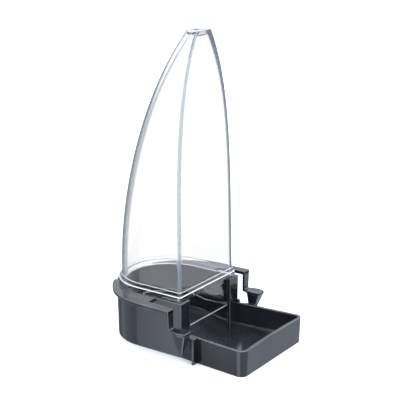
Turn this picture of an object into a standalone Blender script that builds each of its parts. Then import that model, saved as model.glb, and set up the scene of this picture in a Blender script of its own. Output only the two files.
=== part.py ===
"""Gravity seed hopper for a bird cage: a dark base with a feed tray and two hooks, and a clear lift-off hopper.

The frame is +Z up with the tray towards -Y. The origin is on the underside, on the middle plane, below the
front face of the two window posts. Both mouldings are modelled as simple named regions, 0.3 mm apart, so that
each region keeps its own true shape: the cup, the posts, the tray walls, the collar, the hooks, and the
hopper's front panel, back shell, roof, ledge and skirt.
"""

import math

import bmesh
import bpy
import numpy as np

MM = 0.001

# Overall
HEIGHT = 200.0 * MM
GAP = 0.3 * MM                  # between regions that touch
ROUND_STEPS = 24                # facets in the half circle at the back
SHARP_DEG = 32.0                # edges that turn more than this stay sharp

# Base: floor and cup
FLOOR_TOP = 2.4 * MM
RAMP_RISE = 2.6 * MM            # the cup's floor climbs to the back, so seed slides to the tray
RAMP_LENGTH = 26.0 * MM
RAMP_LIP = 0.4 * MM             # thickness of the ramp's front edge
CUP_TOP = 35.9 * MM
CUP_HALF_LOW = 31.9 * MM        # outer half width at the underside
CUP_HALF_HIGH = 32.6 * MM       # and at the rim: the wall has moulding draft
CUP_CENTRE_Y = 34.5 * MM        # centre of the round back
CUP_WALL = 1.6 * MM

# Base: window posts
POST_INNER = 22.6 * MM          # half width of the feed window
POST_DEPTH = 2.3 * MM

# Base: tray
TRAY_HEIGHT = 17.1 * MM
TRAY_WALL = 2.0 * MM
TRAY_REACH_LOW = 47.6 * MM      # front face, in front of the posts, at the underside
TRAY_REACH_HIGH = 48.2 * MM
TRAY_FRONT_HALF_LOW = 35.4 * MM
TRAY_FRONT_HALF_HIGH = 36.0 * MM
TRAY_REAR_HALF_LOW = 31.9 * MM
TRAY_REAR_HALF_HIGH = 32.2 * MM
TRAY_CORNER = 4.5 * MM
CORNER_STEPS = 6
TRAY_JOIN_Y = -41.0 * MM        # where the front wall's returns meet the side walls

# Base: collar, a crescent on each side, and the hook arm that runs on from it
COLLAR_RADIUS = 45.8 * MM
COLLAR_CENTRE_Y = 21.4 * MM
COLLAR_FRONT_HALF = 46.2 * MM
COLLAR_THICK = 2.4 * MM
SLOT_END_Y = 20.0 * MM
ARM_INNER = 39.9 * MM
ARM_REAR_INNER = 39.3 * MM      # the slot narrows a little to the rear
COLLAR_TIP_DEG = 61.0           # where the crescent has thinned out against the cup
COLLAR_STEPS = 14

# Base: hook leg, shelf and prong
LEG_INNER = 40.2 * MM
LEG_OUTER_HIGH = 46.0 * MM
LEG_OUTER_LOW = 45.3 * MM
LEG_THICK = 1.9 * MM
PRONG_TOP = 23.3 * MM
SHELF_THICK = 2.2 * MM
SHELF_INNER = 37.9 * MM
SHELF_OUTER = 46.8 * MM
SHELF_WIDE_Y = -6.2 * MM
SHELF_FRONT_Y = -12.3 * MM
SHELF_FRONT_INNER = 38.7 * MM
SHELF_FRONT_OUTER = 45.7 * MM
PRONG_ROOT_X = (38.4 * MM, 45.8 * MM)
PRONG_ROOT_Y = (-11.9 * MM, -2.6 * MM)
PRONG_TIP_X = (39.3 * MM, 42.1 * MM)
PRONG_TIP_Y = (-7.4 * MM, -4.4 * MM)
PRONG_TIP_Z = 8.5 * MM
PRONG_CUT = 0.25                # share of each side that the prong's corners take

# Base: wire stop fin and corner web on each side
FIN_FRONT_Y = -12.3 * MM
FIN_THICK = 1.3 * MM
FIN_OUTER = 37.0 * MM
FIN_RAMP_REAR_Y = -5.5 * MM
FIN_RAMP_FOOT = 7.5 * MM        # height where the gusset behind the fin begins
FIN_RAMP_EDGE = 0.3 * MM        # the gusset's own thickness where it meets the tray wall
WEB_LENGTH = 1.9 * MM
WEB_RISE = 2.3 * MM

# Hopper
HOPPER_WALL = 1.6 * MM
LEDGE_TOP = 39.4 * MM
LEDGE_HALF = 31.2 * MM
LEDGE_FRONT_Y = 1.4 * MM
LEDGE_CENTRE_Y = 34.6 * MM
HOPPER_FRONT_LOW = 2.7 * MM     # the front face leans back a little
HOPPER_FRONT_HIGH = 5.0 * MM
ROOF_THICK = 2.8 * MM
GATE_RADIUS = 1.9 * MM          # moulding gate dimple in the roof
GATE_DEPTH = 0.5 * MM
SKIRT_FRONT_Z = 16.6 * MM       # feed gap under the skirt's front
SKIRT_BACK_Z = 14.6 * MM
SKIRT_HALF_LOW = 28.6 * MM
SKIRT_HALF_HIGH = 29.7 * MM
SKIRT_CENTRE_Y = 33.3 * MM
HOPPER_LEVELS = 18
LEVEL_BIAS = 1.35               # above 1 the levels crowd towards the top, where the walls bend most

# Ogive curves as cubic Bezier control points: (half width, z) and (centre of the round back, z)
HALF_CURVE = ((29.7, 39.0), (28.4, 100.0), (32.0, 158.0), (7.7, 200.0))
CENTRE_CURVE = ((33.6, 39.0), (35.5, 91.0), (14.0, 155.0), (8.6, 200.0))


def clear_scene():
    """Removes the objects that the file opened with."""
    for item in list(bpy.data.objects):
        bpy.data.objects.remove(item, do_unlink=True)


def make_material(name, colour, roughness, transmission=0.0):
    """A Principled material; colour is linear RGB."""
    material = bpy.data.materials.new(name)
    material.use_nodes = True
    shader = material.node_tree.nodes["Principled BSDF"]
    shader.inputs["Base Color"].default_value = (*colour, 1.0)
    shader.inputs["Roughness"].default_value = roughness
    shader.inputs["Metallic"].default_value = 0.0
    shader.inputs["Transmission Weight"].default_value = transmission
    return material


def place(name, build, material, parent):
    """Turns a bmesh into one named object with outward faces."""
    bmesh.ops.remove_doubles(build, verts=build.verts, dist=0.00001)
    bmesh.ops.recalc_face_normals(build, faces=build.faces)
    mesh = bpy.data.meshes.new(name)
    build.to_mesh(mesh)
    build.free()
    mesh.materials.append(material)
    mesh.shade_smooth()
    mesh.set_sharp_from_angle(angle=math.radians(SHARP_DEG))
    item = bpy.data.objects.new(name, mesh)
    item.parent = parent
    bpy.context.scene.collection.objects.link(item)
    return item


def join_rings(build, low, high):
    """Quads between two closed rings of vertices."""
    count = len(low)
    for i in range(count):
        j = (i + 1) % count
        build.faces.new((low[i], low[j], high[j], high[i]))


def loft(name, rings, material, parent):
    """A closed solid through rings of points, capped at both ends."""
    build = bmesh.new()
    rows = [[build.verts.new(point) for point in ring] for ring in rings]
    for low, high in zip(rows, rows[1:]):
        join_rings(build, low, high)
    build.faces.new(rows[0])
    build.faces.new(rows[-1])
    return place(name, build, material, parent)


def tube(name, outer, inner, material, parent):
    """A ring-shaped solid: outer and inner are lists of rings with the same number of points."""
    build = bmesh.new()
    out_rows = [[build.verts.new(point) for point in ring] for ring in outer]
    in_rows = [[build.verts.new(point) for point in ring] for ring in inner]
    for rows in (out_rows, in_rows):
        for low, high in zip(rows, rows[1:]):
            join_rings(build, low, high)
    join_rings(build, out_rows[0], in_rows[0])
    join_rings(build, out_rows[-1], in_rows[-1])
    return place(name, build, material, parent)


def at_height(path, z):
    """Lifts a flat path to a height."""
    return [(x, y, z) for x, y in path]


def mirrored(ring, side):
    """A ring for the +X side (side 1) or its mirror image (side -1)."""
    return [(side * x, y, z) for x, y, z in ring]


def arc(centre, radius, start_deg, end_deg, steps):
    """Points along a flat arc, both ends included."""
    angles = [math.radians(start_deg + (end_deg - start_deg) * i / steps) for i in range(steps + 1)]
    return [(centre[0] + radius * math.cos(a), centre[1] + radius * math.sin(a)) for a in angles]


def d_path(half, centre_y, front_y):
    """A D-shaped path: along the +X side, round the back and down the -X side."""
    return [(half, front_y)] + arc((0.0, centre_y), half, 0.0, 180.0, ROUND_STEPS) + [(-half, front_y)]


def curve_at(control, z):
    """The first value of a Bezier curve at height z; the control points are in millimetres."""
    t = np.linspace(0.0, 1.0, 400)
    weights = ((1 - t) ** 3, 3 * (1 - t) ** 2 * t, 3 * (1 - t) * t ** 2, t ** 3)
    values = sum(w * point[0] for w, point in zip(weights, control))
    heights = sum(w * point[1] for w, point in zip(weights, control))
    return float(np.interp(z / MM, heights, values)) * MM


def hopper_front(z):
    """Y of the hopper's front face at height z."""
    share = (z - LEDGE_TOP) / (HEIGHT - LEDGE_TOP)
    return HOPPER_FRONT_LOW + (HOPPER_FRONT_HIGH - HOPPER_FRONT_LOW) * share


def tray_half(y, high):
    """Outer half width of the flared tray at y, at the rim or at the underside."""
    rear, front, reach = (
        (TRAY_REAR_HALF_HIGH, TRAY_FRONT_HALF_HIGH, TRAY_REACH_HIGH)
        if high
        else (TRAY_REAR_HALF_LOW, TRAY_FRONT_HALF_LOW, TRAY_REACH_LOW)
    )
    return rear + (front - rear) * (-y / reach)


def tray_corner(inset, high):
    """The +X front corner of the tray's outline as an arc, moved in by inset."""
    reach = TRAY_REACH_HIGH if high else TRAY_REACH_LOW
    radius = TRAY_CORNER - inset
    centre_y = -reach + TRAY_CORNER
    centre_x = tray_half(centre_y, high) - TRAY_CORNER
    return arc((centre_x, centre_y), radius, 0.0, -90.0, CORNER_STEPS)


def make_floor(material, parent):
    """The floor plate under the cup and the tray, with the ramp at the back of the cup."""
    right = [(tray_half(-GAP, False), -GAP)] + tray_corner(0.0, False)
    left = [(-x, y) for x, y in reversed(right)]
    back = arc((0.0, CUP_CENTRE_Y), CUP_HALF_LOW, 180.0, 0.0, ROUND_STEPS)
    outline = right + left + [(-CUP_HALF_LOW, 0.0)] + back + [(CUP_HALF_LOW, 0.0)]
    loft("base_floor", [at_height(outline, 0.0), at_height(outline, FLOOR_TOP)], material, parent)

    half = CUP_HALF_LOW - CUP_WALL - 2 * GAP
    start_y = POST_DEPTH + 2 * GAP
    low_z = FLOOR_TOP + GAP

    def ramp_z(y):
        return low_z + RAMP_LIP + RAMP_RISE * min(1.0, (y - start_y) / RAMP_LENGTH)

    side = [(half, start_y), (half, start_y + RAMP_LENGTH)]
    ring = side + arc((0.0, CUP_CENTRE_Y), half, 0.0, 180.0, ROUND_STEPS)
    ring += [(-x, y) for x, y in reversed(side)]
    loft("cup_ramp", [at_height(ring, low_z), [(x, y, ramp_z(y)) for x, y in ring]], material, parent)


def make_cup(material, parent):
    """The U-shaped cup wall and the two window posts."""
    front_y = POST_DEPTH + GAP
    rings = []
    for z, half in ((FLOOR_TOP + GAP, CUP_HALF_LOW), (CUP_TOP, CUP_HALF_HIGH)):
        outer = d_path(half, CUP_CENTRE_Y, front_y)
        inner = d_path(half - CUP_WALL, CUP_CENTRE_Y, front_y)
        rings.append(at_height(outer + inner[::-1], z))
    loft("cup_wall", rings, material, parent)

    for side, word in ((1, "right"), (-1, "left")):
        rings = []
        for z, half in ((FLOOR_TOP + GAP, CUP_HALF_LOW), (CUP_TOP, CUP_HALF_HIGH)):
            square = [(POST_INNER, 0.0), (half, 0.0), (half, POST_DEPTH), (POST_INNER, POST_DEPTH)]
            rings.append(mirrored(at_height(square, z), side))
        loft(f"window_post_{word}", rings, material, parent)


def make_tray(material, parent):
    """The tray's front wall with its rounded corners, and its two flared side walls."""
    low_z = FLOOR_TOP + GAP
    rings = []
    for z, high in ((low_z, False), (TRAY_HEIGHT, True)):
        outer = [(tray_half(TRAY_JOIN_Y, high), TRAY_JOIN_Y)] + tray_corner(0.0, high)
        inner = [(tray_half(TRAY_JOIN_Y, high) - TRAY_WALL, TRAY_JOIN_Y)] + tray_corner(TRAY_WALL, high)
        ring = outer + [(-x, y) for x, y in reversed(outer)]
        ring += inner + [(-x, y) for x, y in reversed(inner)]
        half = len(outer) * 2
        rings.append(at_height(ring[:half] + ring[half:][::-1], z))
    loft("tray_front_wall", rings, material, parent)

    front_y = TRAY_JOIN_Y + GAP
    for side, word in ((1, "right"), (-1, "left")):
        rings = []
        for z, high in ((low_z, False), (TRAY_HEIGHT, True)):
            rear, front = tray_half(-GAP, high), tray_half(front_y, high)
            square = [(rear, -GAP), (front, front_y), (front - TRAY_WALL, front_y), (rear - TRAY_WALL, -GAP)]
            rings.append(mirrored(at_height(square, z), side))
        loft(f"tray_side_{word}", rings, material, parent)


def make_collar(material, parent):
    """The crescent flange on each side of the cup rim."""
    low_z = CUP_TOP - COLLAR_THICK
    for side, word in ((1, "right"), (-1, "left")):
        outer_start = math.degrees(math.asin((SLOT_END_Y - COLLAR_CENTRE_Y) / COLLAR_RADIUS))
        outer = arc((0.0, COLLAR_CENTRE_Y), COLLAR_RADIUS, outer_start, COLLAR_TIP_DEG, COLLAR_STEPS)
        inner_radius = CUP_HALF_HIGH + GAP
        inner_end = math.degrees(math.atan2(outer[-1][1] - CUP_CENTRE_Y, outer[-1][0]))
        inner = [(inner_radius, SLOT_END_Y)]
        inner += arc((0.0, CUP_CENTRE_Y), inner_radius, 0.0, inner_end, COLLAR_STEPS)
        ring = outer + inner[::-1]
        loft(
            f"collar_{word}",
            [mirrored(at_height(ring, low_z), side), mirrored(at_height(ring, CUP_TOP), side)],
            material,
            parent,
        )


def shelf_outline():
    """The hook's shelf on the +X side: as wide as the leg at the back, widest near the middle."""
    inner = [(LEG_INNER, -GAP), (SHELF_INNER, SHELF_WIDE_Y), (SHELF_FRONT_INNER, SHELF_FRONT_Y)]
    outer = [(SHELF_FRONT_OUTER, SHELF_FRONT_Y), (SHELF_OUTER, SHELF_WIDE_Y), (LEG_OUTER_LOW, -GAP)]
    return inner + outer


def octagon(low_x, high_x, low_y, high_y, cut):
    """A box outline with its four corners cut off, the cut being a share of each side."""
    dx, dy = cut * (high_x - low_x), cut * (high_y - low_y)
    return [
        (low_x, low_y + dy),
        (low_x + dx, low_y),
        (high_x - dx, low_y),
        (high_x, low_y + dy),
        (high_x, high_y - dy),
        (high_x - dx, high_y),
        (low_x + dx, high_y),
        (low_x, high_y - dy),
    ]


def make_hooks(material, parent):
    """On each side: the arm beside the cup, the leg that turns down, the shelf and the tapered prong."""
    low_z = CUP_TOP - COLLAR_THICK
    leg_top = low_z - GAP
    leg_low = PRONG_TOP - SHELF_THICK
    for side, word in ((1, "right"), (-1, "left")):
        rear_half = math.sqrt(COLLAR_RADIUS ** 2 - (SLOT_END_Y - COLLAR_CENTRE_Y) ** 2)
        strip = [(ARM_INNER, 0.0), (COLLAR_FRONT_HALF, 0.0), (rear_half, SLOT_END_Y - GAP)]
        strip += [(ARM_REAR_INNER, SLOT_END_Y - GAP)]
        loft(
            f"hook_arm_{word}",
            [mirrored(at_height(strip, low_z), side), mirrored(at_height(strip, CUP_TOP), side)],
            material,
            parent,
        )

        rings = []
        for z, outer in ((leg_low, LEG_OUTER_LOW), (leg_top, LEG_OUTER_HIGH)):
            square = [(LEG_INNER, 0.0), (outer, 0.0), (outer, LEG_THICK), (LEG_INNER, LEG_THICK)]
            rings.append(mirrored(at_height(square, z), side))
        loft(f"hook_leg_{word}", rings, material, parent)

        rings = [mirrored(at_height(shelf_outline(), z), side) for z in (leg_low, PRONG_TOP)]
        loft(f"hook_shelf_{word}", rings, material, parent)

        tip = at_height(octagon(*PRONG_TIP_X, *PRONG_TIP_Y, PRONG_CUT), PRONG_TIP_Z)
        root = at_height(octagon(*PRONG_ROOT_X, *PRONG_ROOT_Y, PRONG_CUT), leg_low - GAP)
        loft(f"hook_prong_{word}", [mirrored(tip, side), mirrored(root, side)], material, parent)


def make_stops(material, parent):
    """The wire stop fin outside each tray wall, and the small web between tray rim and post."""
    rear_y = FIN_FRONT_Y + FIN_THICK
    for side, word in ((1, "right"), (-1, "left")):
        rings = []
        for z, ramp in ((0.0, 0.0), (FIN_RAMP_FOOT, 0.0), (TRAY_HEIGHT, 1.0)):
            share = z / TRAY_HEIGHT

            def wall(y):
                return tray_half(y, False) + (tray_half(y, True) - tray_half(y, False)) * share + GAP

            ramp_y = rear_y + (FIN_RAMP_REAR_Y - rear_y) * ramp + FIN_RAMP_EDGE
            ring = [(wall(FIN_FRONT_Y), FIN_FRONT_Y), (FIN_OUTER, FIN_FRONT_Y), (FIN_OUTER, rear_y)]
            ring += [(wall(ramp_y) + FIN_RAMP_EDGE, ramp_y), (wall(ramp_y), ramp_y)]
            rings.append(mirrored(at_height(ring, z), side))
        loft(f"wire_stop_{word}", rings, material, parent)

        outer, inner = TRAY_REAR_HALF_LOW, TRAY_REAR_HALF_LOW - TRAY_WALL
        square = [(inner, -GAP), (outer, -GAP), (outer, -WEB_LENGTH), (inner, -WEB_LENGTH)]
        low_z = TRAY_HEIGHT + GAP
        loft(
            f"corner_web_{word}",
            [mirrored(at_height(square, low_z), side), mirrored(at_height(square, low_z + WEB_RISE), side)],
            material,
            parent,
        )


def make_hopper_walls(material, parent):
    """The flat ogive front panel and the curved back shell."""
    low_z, high_z = LEDGE_TOP + GAP, HEIGHT - ROOF_THICK - GAP
    panel, shell = [], []
    for i in range(HOPPER_LEVELS + 1):
        share = i / HOPPER_LEVELS
        z = low_z + (high_z - low_z) * (1.0 - (1.0 - share) ** LEVEL_BIAS)
        half, centre, front = curve_at(HALF_CURVE, z), curve_at(CENTRE_CURVE, z), hopper_front(z)
        back = front + HOPPER_WALL
        panel.append(at_height([(half, front), (half, back), (-half, back), (-half, front)], z))
        outer = d_path(half, centre, back + GAP)
        inner = d_path(half - HOPPER_WALL, centre, back + GAP)
        shell.append(at_height(outer + inner[::-1], z))
    loft("hopper_front_panel", panel, material, parent)
    loft("hopper_back_shell", shell, material, parent)


def make_roof(material, parent):
    """The small D-shaped roof with a shallow gate dimple in its middle."""
    low_z = HEIGHT - ROOF_THICK
    half, centre, front = curve_at(HALF_CURVE, HEIGHT), curve_at(CENTRE_CURVE, HEIGHT), hopper_front(HEIGHT)
    outline = d_path(half, centre, front)
    middle = (0.0, 0.5 * (front + centre + half))
    build = bmesh.new()
    low_ring = [build.verts.new(point) for point in at_height(outline, low_z)]
    high_ring = [build.verts.new(point) for point in at_height(outline, HEIGHT)]
    directions = [math.atan2(y - middle[1], x - middle[0]) for x, y in outline]
    rim = [(middle[0] + GATE_RADIUS * math.cos(a), middle[1] + GATE_RADIUS * math.sin(a)) for a in directions]
    rim_ring = [build.verts.new(point) for point in at_height(rim, HEIGHT)]
    pit_ring = [build.verts.new(point) for point in at_height(rim, HEIGHT - GATE_DEPTH)]
    for low, high in ((low_ring, high_ring), (high_ring, rim_ring), (rim_ring, pit_ring)):
        join_rings(build, low, high)
    build.faces.new(low_ring)
    build.faces.new(pit_ring)
    place("hopper_roof", build, material, parent)


def make_ledge(material, parent):
    """The ledge that stands on the cup rim, and the skirt that hangs inside the cup."""
    wall_half, wall_centre = curve_at(HALF_CURVE, LEDGE_TOP), curve_at(CENTRE_CURVE, LEDGE_TOP)
    outer = d_path(LEDGE_HALF, LEDGE_CENTRE_Y, LEDGE_FRONT_Y)
    inner = d_path(wall_half - HOPPER_WALL, wall_centre, HOPPER_FRONT_LOW + HOPPER_WALL)
    low_z = CUP_TOP + GAP
    tube(
        "hopper_ledge",
        [at_height(outer, low_z), at_height(outer, LEDGE_TOP)],
        [at_height(inner, low_z), at_height(inner, LEDGE_TOP)],
        material,
        parent,
    )

    def skirt_ring(half, inset, low):
        path = d_path(half - inset, SKIRT_CENTRE_Y, HOPPER_FRONT_LOW + inset)
        if not low:
            return at_height(path, CUP_TOP)
        return [(x, y, SKIRT_FRONT_Z if y < SKIRT_CENTRE_Y / 2 else SKIRT_BACK_Z) for x, y in path]

    tube(
        "hopper_skirt",
        [skirt_ring(SKIRT_HALF_LOW, 0.0, True), skirt_ring(SKIRT_HALF_HIGH, 0.0, False)],
        [skirt_ring(SKIRT_HALF_LOW, HOPPER_WALL, True), skirt_ring(SKIRT_HALF_HIGH, HOPPER_WALL, False)],
        material,
        parent,
    )


def main():
    """Builds both mouldings, each under its own empty."""
    clear_scene()
    dark = make_material("anthracite_abs", (0.048, 0.056, 0.066), 0.28)
    clear = make_material("clear_polystyrene", (0.86, 0.89, 0.93), 0.05, 1.0)
    groups = {}
    for name in ("base_moulding", "hopper_moulding"):
        groups[name] = bpy.data.objects.new(name, None)
        bpy.context.scene.collection.objects.link(groups[name])
    base, hopper = groups["base_moulding"], groups["hopper_moulding"]
    for make in (make_floor, make_cup, make_tray, make_collar, make_hooks, make_stops):
        make(dark, base)
    for make in (make_hopper_walls, make_roof, make_ledge):
        make(clear, hopper)


main()
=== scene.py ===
"""Looks of a bird-cage seed hopper: a dark moulded base with a feed tray and hooks, under a clear hopper.

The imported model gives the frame. Each sub-assembly below is a class that holds its sizes in millimetres,
builds its meshes and dresses them. Every piece stays at the origin, with its place in its mesh.
"""

import logging
import math
from dataclasses import dataclass
from enum import Enum
from typing import Callable, Sequence

import bmesh
import bpy
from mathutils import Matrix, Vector

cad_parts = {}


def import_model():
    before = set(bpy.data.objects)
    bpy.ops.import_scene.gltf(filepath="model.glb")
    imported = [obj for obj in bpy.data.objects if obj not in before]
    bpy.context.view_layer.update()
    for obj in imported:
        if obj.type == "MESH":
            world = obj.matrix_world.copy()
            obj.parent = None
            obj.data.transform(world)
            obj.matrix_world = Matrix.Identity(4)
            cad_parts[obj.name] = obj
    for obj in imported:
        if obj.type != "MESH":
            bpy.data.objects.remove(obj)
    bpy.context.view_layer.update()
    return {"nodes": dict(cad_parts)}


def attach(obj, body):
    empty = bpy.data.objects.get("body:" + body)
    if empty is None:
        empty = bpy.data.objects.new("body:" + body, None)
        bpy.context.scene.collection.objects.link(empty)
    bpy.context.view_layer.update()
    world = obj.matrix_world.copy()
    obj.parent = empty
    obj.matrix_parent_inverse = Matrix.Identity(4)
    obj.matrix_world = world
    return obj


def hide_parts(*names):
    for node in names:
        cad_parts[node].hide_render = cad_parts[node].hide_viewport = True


LOG = logging.getLogger("seed_hopper")
MM = 0.001
RIB_SHADE_ATTRIBUTE = "rib"
PAINTED_GLINT_ATTRIBUTE = "painted_glint"
EDGE_ATTRIBUTE = "edge"

SMOOTH = {"interpolation_type": "SMOOTHSTEP"}
MULTIPLY = {"operation": "MULTIPLY"}
SUBTRACT = {"operation": "SUBTRACT"}
MAXIMUM = {"operation": "MAXIMUM"}
COLOURS = {"data_type": "RGBA"}
NUMBERS = {"data_type": "FLOAT"}

Material = bpy.types.Material
Node = bpy.types.Node
Piece = bpy.types.Object
Socket = bpy.types.NodeSocket
Tree = bpy.types.NodeTree
Point = tuple[float, float, float]
FlatPoint = tuple[float, float]
Ring = tuple[list[Point], float]        # a closed ring and the strength of the painted highlight along its edge


class Body(Enum):
    """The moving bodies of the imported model."""

    BASE = "base"
    HOPPER = "hopper"


class Slot(Enum):
    """The material slots of the finishes."""

    BASE = "base_plastic"
    CLEAR = "clear_plastic"


class Side(Enum):
    """The two sides of the middle plane."""

    RIGHT = 1
    LEFT = -1

    @property
    def word(self) -> str:
        """The side's name in lower case."""
        return self.name.lower()

# Colours and nodes


def srgb(text: str) -> tuple[float, float, float, float]:
    """Turns a hex sRGB colour into linear light.

    Args:
        text: Six hex digits, with or without a leading #.

    Returns:
        Linear red, green, blue and an alpha of 1.
    """
    digits = text.lstrip("#")
    channels = [int(digits[i : i + 2], 16) / 255.0 for i in (0, 2, 4)]
    linear = [c / 12.92 if c <= 0.04045 else ((c + 0.055) / 1.055) ** 2.4 for c in channels]
    return (linear[0], linear[1], linear[2], 1.0)


def feed(tree: Tree, node: Node, inputs: dict) -> None:
    """Sets a node's inputs: a socket is linked, and anything else is a fixed value.

    Args:
        tree: The node tree that it is in.
        node: The node.
        inputs: Input name or index to what feeds it.
    """
    for name, value in inputs.items():
        if isinstance(value, Socket):
            tree.links.new(value, node.inputs[name])
        else:
            node.inputs[name].default_value = value


def add_node(tree: Tree, kind: str, settings: dict | None = None, inputs: dict | None = None) -> Node:
    """Adds a node, sets it up and feeds its inputs.

    Args:
        tree: The node tree that it goes in.
        kind: Its Blender type, such as "ShaderNodeTexNoise".
        settings: Attributes of the node itself.
        inputs: Input name or index to a fixed value or to the output socket that feeds it.

    Returns:
        The new node.
    """
    node = tree.nodes.new(kind)
    for name, value in (settings or {}).items():
        setattr(node, name, value)
    feed(tree, node, inputs or {})
    return node


def per_metre(size_mm: float) -> float:
    """The texture scale that gives a pattern features of about size_mm on coordinates in metres."""
    return 1.0 / (size_mm * MM)


# Finishes


@dataclass(frozen=True)
class MouldedStyrene:
    """Anthracite impact styrene from a polished steel mould.

    It gives a deep blue-grey with a soft, slightly uneven gloss: faint flow clouds from the gate, a fine
    orange-peel in the surface, and long blurred reflections at a grazing view. Its marked edges carry a
    painted highlight, paler and rougher.
    """

    name: str = "anthracite_styrene_moulded"
    deep: str = "#14171a"
    light: str = "#1d2024"
    cloud_mm: float = 22.0
    peel_mm: float = 2.4
    grain_mm: float = 0.35          # finer on the real part; drawn this coarse so that it shows
    peel_height_mm: float = 0.0012
    grain_height_mm: float = 0.0005
    edge_highlight: str = "#6b7074"          # painted highlight along the moulded edges
    # how strong the painted edge highlight is, and the gloss under it
    edge_highlight_share: float = 0.45
    edge_highlight_gloss: float = 0.30
    gloss_from: float = 0.09
    gloss_to: float = 0.15
    ior: float = 1.55
    tone_span: FlatPoint = (0.3, 0.7)       # the part of the clouds' output that counts
    # the part of the clouds' output that makes the painted edge highlight patchy
    edge_highlight_span: FlatPoint = (0.35, 0.65)
    gloss_span: FlatPoint = (0.15, 0.35)
    grain_share: float = 0.08       # how far the grain moves the gloss
    grain_base: float = 0.46

    def paint_edge_highlight(self, tree: Tree, clouds: Socket) -> Socket:
        """Paints a highlight along the moulded edges, paler in some places than in others.

        Args:
            tree: The material's node tree.
            clouds: The slow pattern's output.

        Returns:
            An output that is 0 on the faces and up to the highlight's full share along the edges.
        """
        edge = add_node(tree, "ShaderNodeAttribute", {"attribute_name": EDGE_ATTRIBUTE}).outputs["Fac"]
        span = {"Value": clouds, "From Min": self.edge_highlight_span[0], "From Max": self.edge_highlight_span[1]}
        reach = {"To Min": 0.5 * self.edge_highlight_share, "To Max": self.edge_highlight_share}
        patchy = add_node(tree, "ShaderNodeMapRange", inputs={**span, **reach}).outputs["Result"]
        return add_node(tree, "ShaderNodeMath", MULTIPLY, {0: edge, 1: patchy}).outputs["Value"]

    def build(self) -> Material:
        """Builds the material.

        Returns:
            The finished material.
        """
        material = bpy.data.materials.new(self.name)
        material.use_nodes = True
        tree = material.node_tree
        place = add_node(tree, "ShaderNodeTexCoord").outputs["Object"]
        patterns = (
            {"Scale": per_metre(self.cloud_mm), "Detail": 1.0, "Roughness": 0.4, "Distortion": 0.6},
            {"Scale": per_metre(self.grain_mm), "Detail": 2.0, "Roughness": 0.6},
            {"Scale": per_metre(self.peel_mm), "Detail": 1.0, "Roughness": 0.4},
        )
        clouds, grain, peel = (
            add_node(tree, "ShaderNodeTexNoise", inputs={"Vector": place, **pattern}).outputs["Fac"]
            for pattern in patterns
        )
        painted_edge_highlight = self.paint_edge_highlight(tree, clouds)

        span = {"From Min": self.tone_span[0], "From Max": self.tone_span[1]}
        tone = add_node(tree, "ShaderNodeMapRange", inputs={"Value": clouds, **span}).outputs["Result"]
        ends = {6: srgb(self.deep), 7: srgb(self.light)}
        colour = add_node(tree, "ShaderNodeMix", COLOURS, {0: tone, **ends}).outputs[2]
        # painted highlight: the marked edges are mixed towards a paler colour
        ends = {6: colour, 7: srgb(self.edge_highlight)}
        edge_highlighted = add_node(tree, "ShaderNodeMix", COLOURS, {0: painted_edge_highlight, **ends}).outputs[2]

        mixing = {0: grain, 1: self.grain_share, 2: self.grain_base}
        mixed = add_node(tree, "ShaderNodeMath", {"operation": "MULTIPLY_ADD"}, mixing).outputs["Value"]
        uneven = add_node(tree, "ShaderNodeMath", MULTIPLY, {0: mixed, 1: clouds}).outputs["Value"]
        span = {"Value": uneven, "From Min": self.gloss_span[0], "From Max": self.gloss_span[1]}
        reach = {"To Min": self.gloss_from, "To Max": self.gloss_to}
        rough = add_node(tree, "ShaderNodeMapRange", inputs={**span, **reach}).outputs["Result"]
        matt = add_node(tree, "ShaderNodeMix", NUMBERS, {0: painted_edge_highlight, 2: rough, 3: self.edge_highlight_gloss}).outputs[0]

        normal = {}
        for height, depth_mm in ((peel, self.peel_height_mm), (grain, self.grain_height_mm)):
            relief = {"Strength": 1.0, "Distance": depth_mm * MM, "Height": height, **normal}
            normal = {"Normal": add_node(tree, "ShaderNodeBump", inputs=relief).outputs["Normal"]}
        shader = tree.nodes["Principled BSDF"]
        feed(tree, shader, {"Base Color": edge_highlighted, "Roughness": matt, "IOR": self.ior, **normal})
        return material


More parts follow.
